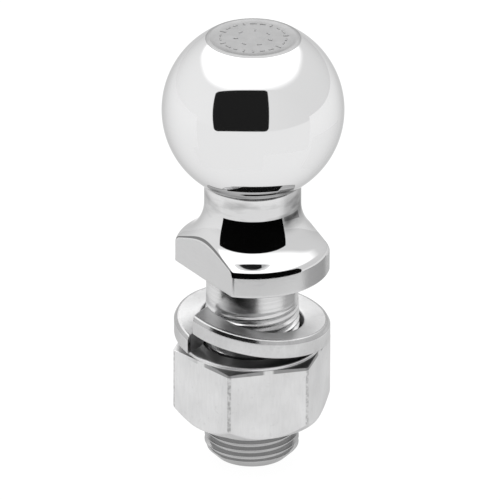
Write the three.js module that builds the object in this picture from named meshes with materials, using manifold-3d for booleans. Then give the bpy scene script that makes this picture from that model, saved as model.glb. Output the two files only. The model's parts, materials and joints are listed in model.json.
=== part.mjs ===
// Trailer hitch ball: a forged ball stud, its split spring lock washer and its hex nut.
// Millimetres, +Z up, origin at the centre of the shank's end face.
import * as THREE from 'three';
import { mergeVertices } from 'three/addons/utils/BufferGeometryUtils.js';
import Module from 'manifold-3d';

const wasm = await Module();
wasm.setup();

// Driving dimensions
const BALL_RADIUS = 23.8125;
const BALL_CENTRE_Z = 98.9;
const TOP_FLAT_RADIUS = 11.7;
const NECK_RADIUS = 12.7;
const BALL_FILLET = 1.6;
const FLARE_START_Z = 72.5;
const FLARE_HOLLOW_RADIUS = 12.2;
const FLARE_SLOPE = THREE.MathUtils.degToRad(55);
const FLARE_CROWN_RADIUS = 2.35;
const FLANGE_RADIUS = 20.35;
const FLARE_CROWN_Z = 59.57;
const SHANK_LENGTH = 54.0;
const RIM_CHAMFER = 0.5;
const WRENCH_FLAT_DISTANCE = 15.4;
const WRENCH_FLAT_ANGLE = THREE.MathUtils.degToRad(-56);

const THREAD_PITCH = 25.4 / 14;
const THREAD_DEPTH = 0.5413 * THREAD_PITCH;
const THREAD_RADIUS = 12.4;
const THREAD_TOP_Z = 46.0;
const SMOOTH_SHANK_RADIUS = 12.1;
const END_CHAMFER = 2.75;
const THREAD_CLEARANCE = 0.25;

const NUT_ACROSS_FLATS = 36.9;
const NUT_BOTTOM_Z = 12.1;
const NUT_HEIGHT = 20.75;
const NUT_TURN = THREE.MathUtils.degToRad(-16.4);
const NUT_FACE_RADIUS = 18.4;
const NUT_FACE_HEIGHT = 0.8;
const NUT_FACE_CHAMFER = 0.5;
const NUT_TOP_SLOPE = THREE.MathUtils.degToRad(8);
const NUT_BOTTOM_RADIUS = 18.25;
const NUT_BOTTOM_SLOPE = THREE.MathUtils.degToRad(47);
const NUT_COUNTERSINK = 0.7;

const WASHER_INNER_RADIUS = 13.4;
const WASHER_OUTER_RADIUS = 20.5;
const WASHER_THICKNESS = 5.2;
const WASHER_RISE_PER_TURN = 6.9;
const WASHER_LOW_END = THREE.MathUtils.degToRad(-55.2);
const WASHER_GAP = THREE.MathUtils.degToRad(5.9);
const WASHER_END_SKEW = THREE.MathUtils.degToRad(-10);
const WASHER_SWAY = 2.48;
const WASHER_SWAY_TURN = THREE.MathUtils.degToRad(38);
const WASHER_TOP_EDGE = 1.4;
const WASHER_SEAT_GAP = 0.25;

const BODY_SEGMENTS = 40;
const THREAD_SEGMENTS = 20;
const WASHER_STEPS = 60;
const FLANK_TAN = Math.tan(Math.PI / 6);

/** Angles run from the front (-Y), positive towards +X. */
function polar(radius, angle, z) {
  return new THREE.Vector3(radius * Math.sin(angle), -radius * Math.cos(angle), z);
}

function toSolid(geometry) {
  const bare = geometry.clone();
  bare.deleteAttribute('normal');
  bare.deleteAttribute('uv');
  const merged = mergeVertices(bare, 1e-4);
  const mesh = new wasm.Mesh({
    numProp: 3,
    vertProperties: new Float32Array(merged.attributes.position.array),
    triVerts: new Uint32Array(merged.index.array),
  });
  mesh.merge();
  return new wasm.Manifold(mesh);
}

function toGeometry(solid) {
  const mesh = solid.getMesh();
  const geometry = new THREE.BufferGeometry();
  geometry.setAttribute('position', new THREE.BufferAttribute(mesh.vertProperties, 3));
  geometry.setIndex(new THREE.BufferAttribute(mesh.triVerts, 1));
  geometry.computeVertexNormals();
  return geometry;
}

/** Points of an arc in the radius-height plane, both ends included. */
function arc(centreR, centreZ, radius, from, to, steps) {
  return Array.from({ length: steps + 1 }, (_, i) => {
    const angle = from + ((to - from) * i) / steps;
    return new THREE.Vector2(centreR + radius * Math.cos(angle), centreZ + radius * Math.sin(angle));
  });
}

/** Solid of revolution about Z from a profile that starts and ends on the axis, bottom first. */
function turned(profile, segments) {
  const geometry = new THREE.LatheGeometry(profile, segments);
  geometry.rotateX(Math.PI / 2);
  return toSolid(geometry);
}

/** Closed solid through a row of equal rings, with a fan over each end. */
function swept(rings) {
  const count = rings[0].length;
  const positions = rings.flat().flatMap((point) => point.toArray());
  const index = [];
  for (let i = 0; i + 1 < rings.length; i += 1) {
    for (let j = 0; j < count; j += 1) {
      const a = i * count + j;
      const b = i * count + ((j + 1) % count);
      index.push(a, a + count, b, b, a + count, b + count);
    }
  }
  const last = (rings.length - 1) * count;
  for (let j = 1; j + 1 < count; j += 1) {
    index.push(0, j, j + 1);
    index.push(last, last + j + 1, last + j);
  }
  const geometry = new THREE.BufferGeometry();
  geometry.setAttribute('position', new THREE.Float32BufferAttribute(positions, 3));
  geometry.setIndex(index);
  return toSolid(geometry);
}

/**
 * V-shaped helical cutter. The section runs from halfInner wide at innerR to halfOuter at outerR,
 * and moves out of the work over its last half turn when runOut is given.
 */
function threadCutter({ innerR, outerR, halfInner, halfOuter, fromZ, toZ, phase, runOut }) {
  const turns = (toZ - fromZ) / THREAD_PITCH;
  const steps = Math.round(turns * THREAD_SEGMENTS);
  const fadeSteps = THREAD_SEGMENTS / 2;
  const rings = [];
  for (let i = 0; i <= steps; i += 1) {
    const angle = (2 * Math.PI * i) / THREAD_SEGMENTS;
    const z = fromZ + (THREAD_PITCH * i) / THREAD_SEGMENTS + phase;
    const lift = runOut * Math.max(0, 1 - (steps - i) / fadeSteps);
    rings.push([
      polar(innerR + lift, angle, z - halfInner),
      polar(outerR + lift, angle, z - halfOuter),
      polar(outerR + lift, angle, z + halfOuter),
      polar(innerR + lift, angle, z + halfInner),
    ]);
  }
  return swept(rings);
}

function studBodyProfile() {
  const hollow = arc(
    NECK_RADIUS + FLARE_HOLLOW_RADIUS, FLARE_START_Z, FLARE_HOLLOW_RADIUS,
    Math.PI + FLARE_SLOPE, Math.PI, 8,
  );
  const crownR = FLANGE_RADIUS - FLARE_CROWN_RADIUS;
  const crown = arc(crownR, FLARE_CROWN_Z, FLARE_CROWN_RADIUS, 0, FLARE_SLOPE, 5);
  const filletR = NECK_RADIUS + BALL_FILLET;
  const filletZ = BALL_CENTRE_Z - Math.sqrt((BALL_RADIUS + BALL_FILLET) ** 2 - filletR ** 2);
  const filletEnd = Math.atan2(BALL_CENTRE_Z - filletZ, -filletR);
  const fillet = arc(filletR, filletZ, BALL_FILLET, Math.PI, filletEnd, 3);
  const flatEdge = Math.acos(TOP_FLAT_RADIUS / BALL_RADIUS);
  const ball = arc(0, BALL_CENTRE_Z, BALL_RADIUS, filletEnd - Math.PI, flatEdge, 15);
  return [
    new THREE.Vector2(0, SHANK_LENGTH),
    new THREE.Vector2(FLANGE_RADIUS - RIM_CHAMFER, SHANK_LENGTH),
    new THREE.Vector2(FLANGE_RADIUS, SHANK_LENGTH + RIM_CHAMFER),
    ...crown,
    ...hollow,
    ...fillet,
    ...ball.slice(1),
    new THREE.Vector2(0, ball[ball.length - 1].y),
  ];
}

function shankSolid() {
  const step = THREAD_RADIUS - SMOOTH_SHANK_RADIUS;
  const blank = turned([
    new THREE.Vector2(0, 0),
    new THREE.Vector2(THREAD_RADIUS - END_CHAMFER, 0),
    new THREE.Vector2(THREAD_RADIUS, END_CHAMFER),
    new THREE.Vector2(THREAD_RADIUS, THREAD_TOP_Z),
    new THREE.Vector2(SMOOTH_SHANK_RADIUS, THREAD_TOP_Z + step),
    new THREE.Vector2(SMOOTH_SHANK_RADIUS, SHANK_LENGTH + RIM_CHAMFER),
    new THREE.Vector2(0, SHANK_LENGTH + RIM_CHAMFER),
  ], THREAD_SEGMENTS);
  const overshoot = 0.5;
  const groove = threadCutter({
    innerR: THREAD_RADIUS - THREAD_DEPTH,
    outerR: THREAD_RADIUS + overshoot,
    halfInner: THREAD_PITCH / 8,
    halfOuter: THREAD_PITCH / 8 + (THREAD_DEPTH + overshoot) * FLANK_TAN,
    fromZ: -2 * THREAD_PITCH,
    toZ: THREAD_TOP_Z,
    phase: 0,
    runOut: THREAD_DEPTH + 0.3,
  });
  return blank.subtract(groove);
}

function wrenchFlatCutter(side) {
  const size = 2 * FLANGE_RADIUS;
  const height = FLARE_START_Z - SHANK_LENGTH;
  const block = new THREE.BoxGeometry(size, size, height);
  block.translate(0, -(WRENCH_FLAT_DISTANCE + size / 2), SHANK_LENGTH + height / 2 - RIM_CHAMFER);
  block.rotateZ(WRENCH_FLAT_ANGLE + side * Math.PI);
  return toSolid(block);
}

function ballStud() {
  return turned(studBodyProfile(), BODY_SEGMENTS)
    .subtract(wrenchFlatCutter(0))
    .subtract(wrenchFlatCutter(1))
    .add(shankSolid());
}

function hexPrism() {
  const corner = NUT_ACROSS_FLATS / Math.sqrt(3);
  const prism = new THREE.CylinderGeometry(corner, corner, NUT_HEIGHT, 6);
  prism.rotateX(Math.PI / 2);
  prism.rotateZ(NUT_TURN);
  prism.translate(0, 0, NUT_BOTTOM_Z + NUT_HEIGHT / 2);
  return toSolid(prism);
}

/** Round washer face on top, nearly flat lands at the top corners and a steep chamfer below. */
function nutEnvelope() {
  const reach = NUT_ACROSS_FLATS / Math.sqrt(3) + 1;
  const top = NUT_BOTTOM_Z + NUT_HEIGHT;
  const land = top - NUT_FACE_HEIGHT;
  return turned([
    new THREE.Vector2(0, NUT_BOTTOM_Z),
    new THREE.Vector2(NUT_BOTTOM_RADIUS, NUT_BOTTOM_Z),
    new THREE.Vector2(reach, NUT_BOTTOM_Z + (reach - NUT_BOTTOM_RADIUS) * Math.tan(NUT_BOTTOM_SLOPE)),
    new THREE.Vector2(reach, land - (reach - NUT_FACE_RADIUS) * Math.tan(NUT_TOP_SLOPE)),
    new THREE.Vector2(NUT_FACE_RADIUS, land),
    new THREE.Vector2(NUT_FACE_RADIUS, top - NUT_FACE_CHAMFER),
    new THREE.Vector2(NUT_FACE_RADIUS - NUT_FACE_CHAMFER, top),
    new THREE.Vector2(0, top),
  ], BODY_SEGMENTS);
}

function nutBore() {
  const bore = THREAD_RADIUS - THREAD_DEPTH + THREAD_CLEARANCE;
  const mouth = THREAD_RADIUS + THREAD_CLEARANCE + NUT_COUNTERSINK;
  const depth = mouth - bore;
  const top = NUT_BOTTOM_Z + NUT_HEIGHT;
  const margin = 1;
  return turned([
    new THREE.Vector2(0, NUT_BOTTOM_Z - margin),
    new THREE.Vector2(mouth + margin, NUT_BOTTOM_Z - margin),
    new THREE.Vector2(bore, NUT_BOTTOM_Z + depth),
    new THREE.Vector2(bore, top - depth),
    new THREE.Vector2(mouth + margin, top + margin),
    new THREE.Vector2(0, top + margin),
  ], THREAD_SEGMENTS);
}

function hexNut() {
  const overshoot = 0.3;
  const turnsBelow = Math.floor(NUT_BOTTOM_Z / THREAD_PITCH) - 1;
  const groove = threadCutter({
    innerR: THREAD_RADIUS - THREAD_DEPTH + THREAD_CLEARANCE - overshoot,
    outerR: THREAD_RADIUS + THREAD_CLEARANCE,
    halfInner: (3 * THREAD_PITCH) / 8 + overshoot * FLANK_TAN,
    halfOuter: THREAD_PITCH / 16,
    fromZ: turnsBelow * THREAD_PITCH,
    toZ: NUT_BOTTOM_Z + NUT_HEIGHT + 2 * THREAD_PITCH,
    phase: THREAD_PITCH / 2,
    runOut: 0,
  });
  return hexPrism().intersect(nutEnvelope()).subtract(nutBore()).subtract(groove);
}

/** Bar section of the washer, as radius and height, with its outer top edge rounded. */
function washerSection() {
  const edge = arc(
    WASHER_OUTER_RADIUS - WASHER_TOP_EDGE, WASHER_THICKNESS - WASHER_TOP_EDGE, WASHER_TOP_EDGE,
    0, Math.PI / 2, 3,
  );
  return [
    new THREE.Vector2(WASHER_INNER_RADIUS, 0),
    new THREE.Vector2(WASHER_OUTER_RADIUS, 0),
    ...edge,
    new THREE.Vector2(WASHER_INNER_RADIUS, WASHER_THICKNESS),
  ];
}

/** Height of the coil at a turn angle: a steady helix that leans, so it rests on the nut at two places. */
function washerRise(turn) {
  return (WASHER_RISE_PER_TURN * turn) / (2 * Math.PI) + WASHER_SWAY * Math.cos(turn - WASHER_SWAY_TURN);
}

/** One turn of left-hand coil with skewed ends. */
function lockWasher() {
  const section = washerSection();
  const width = WASHER_OUTER_RADIUS - WASHER_INNER_RADIUS;
  const sweep = 2 * Math.PI - WASHER_GAP;
  const turns = Array.from({ length: WASHER_STEPS + 1 }, (_, i) => (sweep * i) / WASHER_STEPS);
  const seat = NUT_BOTTOM_Z + NUT_HEIGHT + WASHER_SEAT_GAP - Math.min(...turns.map(washerRise));
  const rings = turns.map((turn) => section.map((point) => {
    const skew = (WASHER_END_SKEW * (WASHER_OUTER_RADIUS - point.x)) / width;
    return polar(point.x, WASHER_LOW_END + skew - turn, point.y + seat + washerRise(turn));
  }));
  return swept(rings.reverse());
}

function part(name, solid, material) {
  const mesh = new THREE.Mesh(toGeometry(solid), material);
  mesh.name = name;
  return mesh;
}

const chrome = new THREE.MeshStandardMaterial({ color: 0xdcdddf, roughness: 0.06, metalness: 1 });
const springSteel = new THREE.MeshStandardMaterial({ color: 0xc6c7c9, roughness: 0.35, metalness: 1 });
const zincPlate = new THREE.MeshStandardMaterial({ color: 0xcfd0d2, roughness: 0.3, metalness: 1 });

const hitchBall = new THREE.Group();
hitchBall.add(
  part('ball_stud', ballStud(), chrome),
  part('lock_washer', lockWasher(), springSteel),
  part('hex_nut', hexNut(), zincPlate),
);

export default hitchBall;
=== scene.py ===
"""Looks of a trailer hitch ball: a forged ball stud, its split lock washer and its hex nut.

Sizes in the classes are millimetres unless they say otherwise. Heights are above the shank's end face.
Angles in the XY plane run from the front (-Y), positive towards +X.
"""

import json
import logging
import math
from collections.abc import Callable, Iterable
from dataclasses import dataclass
from enum import Enum

import bpy
import numpy as np
from mathutils import Matrix, Vector

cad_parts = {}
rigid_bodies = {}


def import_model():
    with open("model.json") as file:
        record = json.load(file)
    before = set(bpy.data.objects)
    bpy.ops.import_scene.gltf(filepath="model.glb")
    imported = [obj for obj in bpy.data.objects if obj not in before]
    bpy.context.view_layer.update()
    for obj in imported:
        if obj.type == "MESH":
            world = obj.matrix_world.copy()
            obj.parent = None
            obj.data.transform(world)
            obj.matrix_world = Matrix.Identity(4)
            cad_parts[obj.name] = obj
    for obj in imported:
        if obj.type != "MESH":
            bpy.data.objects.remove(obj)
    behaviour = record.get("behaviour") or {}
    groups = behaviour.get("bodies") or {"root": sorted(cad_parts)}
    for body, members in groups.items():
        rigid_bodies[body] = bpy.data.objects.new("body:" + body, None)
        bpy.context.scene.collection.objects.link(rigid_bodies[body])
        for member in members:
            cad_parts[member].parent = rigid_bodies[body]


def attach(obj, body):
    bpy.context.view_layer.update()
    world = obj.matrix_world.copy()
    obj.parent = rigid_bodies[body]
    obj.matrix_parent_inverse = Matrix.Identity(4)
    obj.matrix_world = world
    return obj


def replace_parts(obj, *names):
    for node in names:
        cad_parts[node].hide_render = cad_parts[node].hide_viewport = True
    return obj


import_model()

LOG = logging.getLogger("hitch_ball")
MM = 0.001
METAL_EDGE_TINT = 0.7
Point = tuple[float, float]
Triple = tuple[float, float, float]
Ramp = tuple[float, float]
Move = Callable[[np.ndarray, np.ndarray, np.ndarray], tuple[np.ndarray, np.ndarray, np.ndarray]]


class Slot(Enum):
    """Material slots of the record."""

    CHROME = "mirror_chrome"
    SPRING = "plated_spring_steel"
    ZINC = "zinc_plate"


# ---------------------------------------------------------------- geometry helpers


def deselect_all() -> None:
    """Leaves object mode with nothing selected."""
    if bpy.context.mode != "OBJECT":
        bpy.ops.object.mode_set(mode="OBJECT")
    bpy.ops.object.select_all(action="DESELECT")


def activate(obj: bpy.types.Object) -> None:
    """Makes obj the one selected, active object."""
    deselect_all()
    obj.select_set(True)
    bpy.context.view_layer.objects.active = obj


def arc(centre: Point, radius: float, start: float, end: float, steps: int) -> list[Point]:
    """Points of an arc in the radius-height plane.

    Args:
        centre: Radius and height of the arc's centre.
        radius: Radius of the arc.
        start: First angle in degrees, from the outward direction, positive upwards.
        end: Last angle in degrees.
        steps: Number of equal steps.

    Returns:
        The points, both ends included.
    """
    angles = np.radians(np.linspace(start, end, steps + 1))
    return [(centre[0] + radius * math.cos(a), centre[1] + radius * math.sin(a)) for a in angles]


def line(start: Point, end: Point, steps: int) -> list[Point]:
    """Evenly spaced points from start to end, both included."""
    share = np.linspace(0.0, 1.0, steps + 1)
    return [(start[0] + (end[0] - start[0]) * s, start[1] + (end[1] - start[1]) * s) for s in share]


def chain(*runs: Iterable[Point]) -> list[Point]:
    """Joins runs of points and drops a point that repeats the one before it."""
    joined: list[Point] = []
    for point in (p for run in runs for p in run):
        if not joined or math.dist(point, joined[-1]) > 1e-6:
            joined.append(point)
    return joined


def smooth_min(a: np.ndarray, b: np.ndarray, width: np.ndarray | float) -> np.ndarray:
    """Smaller of a and b, rounded where they are less than width apart."""
    near = np.maximum(width - np.abs(a - b), 0.0) / np.maximum(width, 1e-9)
    return np.minimum(a, b) - near * near * width / 4.0


def smooth_step(low: float, high: float, value: np.ndarray) -> np.ndarray:
    """0 below low, 1 above high, and a smooth curve between."""
    t = np.clip((value - low) / (high - low), 0.0, 1.0)
    return t * t * (3.0 - 2.0 * t)


def draw_profile(name: str, profile: list[Point]) -> bpy.types.Object:
    """Draws an open line in the XZ plane by extruding one vertex from point to point.

    Args:
        name: Name of the new object.
        profile: Radius and height of each point, in millimetres.

    Returns:
        The object, left in edit mode.
    """
    deselect_all()
    bpy.ops.mesh.primitive_plane_add(size=MM)
    obj = bpy.context.active_object
    obj.name = name
    obj.data.name = name
    bpy.ops.object.mode_set(mode="EDIT")
    bpy.ops.mesh.select_mode(type="VERT")
    bpy.ops.mesh.select_all(action="SELECT")
    bpy.ops.mesh.merge(type="CENTER")
    bpy.ops.transform.translate(value=(profile[0][0] * MM, 0.0, profile[0][1] * MM))
    for (r0, z0), (r1, z1) in zip(profile, profile[1:]):
        step = ((r1 - r0) * MM, 0.0, (z1 - z0) * MM)
        bpy.ops.mesh.extrude_region_move(TRANSFORM_OT_translate={"value": step})
    return obj


def tidy_normals(merge_distance: float = 1e-6) -> None:
    """Merges doubles and turns all faces of the mesh being edited outwards."""
    bpy.ops.mesh.select_all(action="SELECT")
    bpy.ops.mesh.remove_doubles(threshold=merge_distance)
    bpy.ops.mesh.normals_make_consistent(inside=False)


def spin_profile(name: str, profile: list[Point], segments: int,
                 sweep: float = 2.0 * math.pi) -> bpy.types.Object:
    """Spins a profile about Z, clockwise as seen from above.

    Args:
        name: Name of the new object.
        profile: Radius and height of each point, in millimetres.
        segments: Number of steps over the sweep.
        sweep: Angle of the spin in radians.

    Returns:
        The object, in object mode.
    """
    obj = draw_profile(name, profile)
    bpy.ops.mesh.select_all(action="SELECT")
    bpy.ops.mesh.spin(steps=segments, angle=sweep, center=(0.0, 0.0, 0.0), axis=(0.0, 0.0, 1.0))
    tidy_normals()
    bpy.ops.object.mode_set(mode="OBJECT")
    return obj


def reshape(obj: bpy.types.Object, move: Move) -> None:
    """Moves every vertex in cylinder coordinates.

    Args:
        obj: The mesh object.
        move: Takes radius and height in mm and the angle from +X in radians, and returns the new ones.
    """
    count = len(obj.data.vertices)
    flat = np.empty(count * 3, np.float32)
    obj.data.vertices.foreach_get("co", flat)
    co = flat.reshape(-1, 3).astype(float) / MM
    radius = np.hypot(co[:, 0], co[:, 1])
    angle = np.arctan2(co[:, 1], co[:, 0])
    radius, height, angle = move(radius, co[:, 2], angle)
    moved = np.stack([radius * np.cos(angle), radius * np.sin(angle), height], 1) * MM
    obj.data.vertices.foreach_set("co", moved.astype(np.float32).ravel())
    obj.data.update()


def smooth_by_angle(obj: bpy.types.Object, degrees: float) -> None:
    """Smooth shading that keeps edges sharper than the angle."""
    activate(obj)
    bpy.ops.object.shade_smooth_by_angle(angle=math.radians(degrees))


def apply_all(obj: bpy.types.Object) -> None:
    """Applies every modifier of obj."""
    activate(obj)
    for modifier in list(obj.modifiers):
        bpy.ops.object.modifier_apply(modifier=modifier.name)


def settle(obj: bpy.types.Object) -> None:
    """Leaves the object at the origin, unturned and unscaled, with its place in the mesh."""
    obj.data.transform(obj.matrix_world)
    obj.matrix_world = Matrix.Identity(4)


def front_angle(degrees: float) -> Vector:
    """Unit vector at an angle from the front (-Y), positive towards +X."""
    a = math.radians(degrees)
    return Vector((math.sin(a), -math.cos(a), 0.0))


# ---------------------------------------------------------------- shader helpers


class Shader:
    """Builds a node material one node at a time."""

    def __init__(self, name: str) -> None:
        self.material = bpy.data.materials.new(name)
        self.material.use_nodes = True
        self.nodes = self.material.node_tree.nodes
        self.links = self.material.node_tree.links
        self.principled = self.nodes["Principled BSDF"]
        self.coords = self.nodes.new("ShaderNodeTexCoord").outputs["Object"]

    def feed(self, socket: bpy.types.NodeSocket, value: object) -> None:
        """Links value to a socket, or sets it if it is a plain number or tuple."""
        if isinstance(value, bpy.types.NodeSocket):
            self.links.new(value, socket)
        else:
            socket.default_value = value

    def math(self, operation: str, a: object, b: object = 0.0, clamp: bool = False) -> bpy.types.NodeSocket:
        """A math node."""
        node = self.nodes.new("ShaderNodeMath")
        node.operation = operation
        node.use_clamp = clamp
        self.feed(node.inputs[0], a)
        self.feed(node.inputs[1], b)
        return node.outputs[0]

    def times(self, first: object, *others: object) -> object:
        """Product of the values."""
        for other in others:
            first = self.math("MULTIPLY", first, other)
        return first

    def step(self, value: object, low: float, high: float) -> bpy.types.NodeSocket:
        """Smooth step of value from low to high, 0 to 1."""
        return self.remap(value, low, high, 0.0, 1.0, "SMOOTHSTEP")

    def ramps(self, value: object, *limits: Ramp) -> object:
        """Product of smooth steps of a length in metres.

        Args:
            value: The length.
            limits: For each step, where it starts and where it is complete, in mm.

        Returns:
            1 where every step is complete, or plain 0.0 if there are no steps.
        """
        if not limits:
            return 0.0
        return self.times(*(self.step(value, start * MM, end * MM) for start, end in limits))

    def fade_to(self, mask: object, share: float) -> bpy.types.NodeSocket:
        """1 where the mask is 0, and share where it is 1."""
        return self.remap(mask, 0.0, 1.0, 1.0, share)

    def length(self, x: object, y: object) -> bpy.types.NodeSocket:
        """Length of the vector (x, y)."""
        return self.math("SQRT", self.math("ADD", self.times(x, x), self.times(y, y)))

    def rounded_box(self, across: object, up: object, flats: Point) -> bpy.types.NodeSocket:
        """Distance outside a centred box of the half sizes in flats."""
        beyond = (self.math("MAXIMUM", self.math("SUBTRACT", self.math("ABSOLUTE", value), flat), 0.0)
                  for value, flat in zip((across, up), flats))
        return self.length(*beyond)

    def remap(self, value: object, low: float, high: float, to_low: float, to_high: float,
              mode: str = "LINEAR") -> bpy.types.NodeSocket:
        """Maps value from one range to another, clamped."""
        node = self.nodes.new("ShaderNodeMapRange")
        node.interpolation_type = mode
        for socket, number in zip(node.inputs[:5], (value, low, high, to_low, to_high)):
            self.feed(socket, number)
        return node.outputs["Result"]

    def separate(self, vector: bpy.types.NodeSocket) -> tuple:
        """The three components of a vector."""
        node = self.nodes.new("ShaderNodeSeparateXYZ")
        self.feed(node.inputs[0], vector)
        return tuple(node.outputs)

    def stretched(self, scale: Triple) -> bpy.types.NodeSocket:
        """Object coordinates multiplied by a scale."""
        node = self.nodes.new("ShaderNodeMapping")
        self.feed(node.inputs["Vector"], self.coords)
        node.inputs["Scale"].default_value = scale
        return node.outputs[0]

    def noise(self, vector: bpy.types.NodeSocket, scale: float, detail: float = 2.0) -> bpy.types.NodeSocket:
        """A noise texture's value."""
        node = self.nodes.new("ShaderNodeTexNoise")
        self.feed(node.inputs["Vector"], vector)
        node.inputs["Scale"].default_value = scale
        node.inputs["Detail"].default_value = detail
        return node.outputs["Fac"]

    def mix(self, share: object, a: object, b: object) -> bpy.types.NodeSocket:
        """Plain number mix of a and b."""
        return self.math("ADD", self.times(a, self.math("SUBTRACT", 1.0, share)), self.times(b, share))

    def grey(self, value: object) -> bpy.types.NodeSocket:
        """A slightly cool grey colour from a number."""
        node = self.nodes.new("ShaderNodeCombineColor")
        self.feed(node.inputs[0], value)
        self.feed(node.inputs[1], value)
        self.feed(node.inputs[2], self.math("MULTIPLY", value, 1.004))
        return node.outputs[0]

    def bump(self, height: object, distance: float, strength: float = 1.0) -> bpy.types.NodeSocket:
        """A bump normal; distance is in metres."""
        node = self.nodes.new("ShaderNodeBump")
        self.feed(node.inputs["Height"], height)
        node.inputs["Distance"].default_value = distance
        node.inputs["Strength"].default_value = strength
        return node.outputs["Normal"]

    def radial_tangent(self) -> bpy.types.NodeSocket:
        """Tangent round the Z axis."""
        node = self.nodes.new("ShaderNodeTangent")
        node.direction_type = "RADIAL"
        node.axis = "Z"
        return node.outputs[0]

    def socket(self, name: str) -> bpy.types.NodeSocket:
        """An input of the principled shader."""
        return self.principled.inputs[name]

    def metal(self, metallic: float, edge_tint: float, tone: object, rough: object, normal: object) -> None:
        """Feeds the principled shader's inputs for a metal.

        Args:
            metallic: How far the surface is metal.
            edge_tint: Grey level of the reflection near the outline.
            tone: Grey level of the reflection seen square on.
            rough: Roughness.
            normal: Bumped normal.
        """
        self.feed(self.socket("Base Color"), self.grey(tone))
        self.socket("Metallic").default_value = metallic
        self.socket("Specular Tint").default_value = (edge_tint, edge_tint, edge_tint, 1.0)
        self.feed(self.socket("Roughness"), rough)
        self.feed(self.socket("Normal"), normal)


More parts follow.
